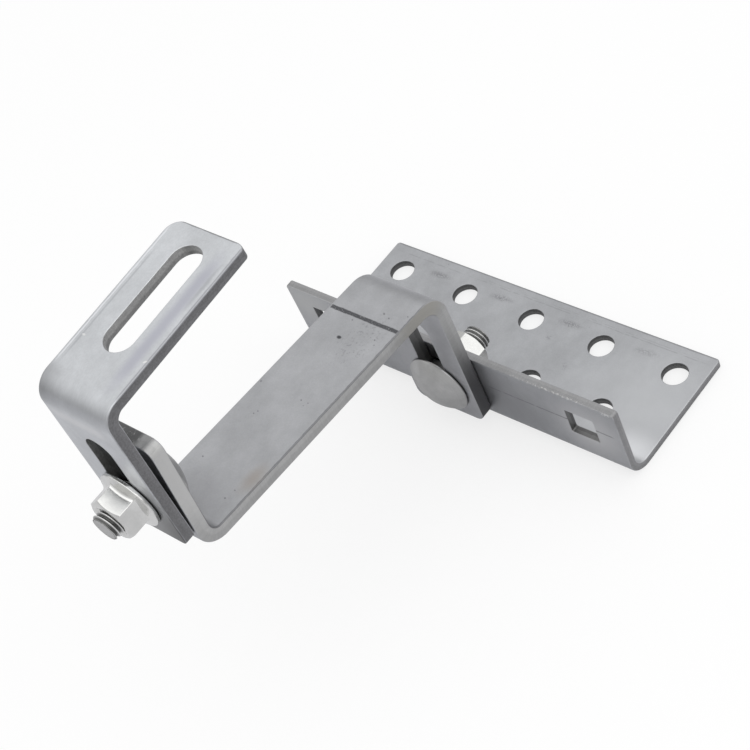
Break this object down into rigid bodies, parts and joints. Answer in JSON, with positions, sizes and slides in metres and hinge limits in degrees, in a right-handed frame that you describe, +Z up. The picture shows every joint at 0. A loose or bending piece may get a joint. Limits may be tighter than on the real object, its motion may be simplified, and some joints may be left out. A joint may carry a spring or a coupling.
{
  "type": "solar roof hook",
  "caption": "Adjustable steel roof hook: a cranked flat-bar arm bolted to a drilled base plate, with a slotted angle bracket at its tip for a solar module rail.",
  "frame": {"origin": "centre of the underside of the base plate's wide leg, the face that lies on the rafter", "axes": "+X along the base plate's length, +Y across its wide leg from the flange to the free edge, away from the side that the hook reaches out to, +Z up out of the rafter"},
  "size_m": [0.146, 0.1848, 0.1471],
  "materials": {
    "base_plate": "tumbled stainless sheet, dull satin with fine smudges and scuffs",
    "hook_arm": "rolled stainless bar, satin along its length with small pits",
    "rail_bracket": "rolled stainless bar, bright satin",
    "bolt": "cold-formed stainless, smooth half-gloss head and rolled thread",
    "nut": "cold-formed stainless, bright half-gloss"
  },
  "bodies": {
    "root": {"base_plate": "base_plate", "hook_arm": "hook_arm", "rail_bracket": "rail_bracket", "base_bolt": "bolt", "rail_bolt": "bolt", "base_nut": "nut", "rail_nut": "nut"}
  },
  "joints": []
}
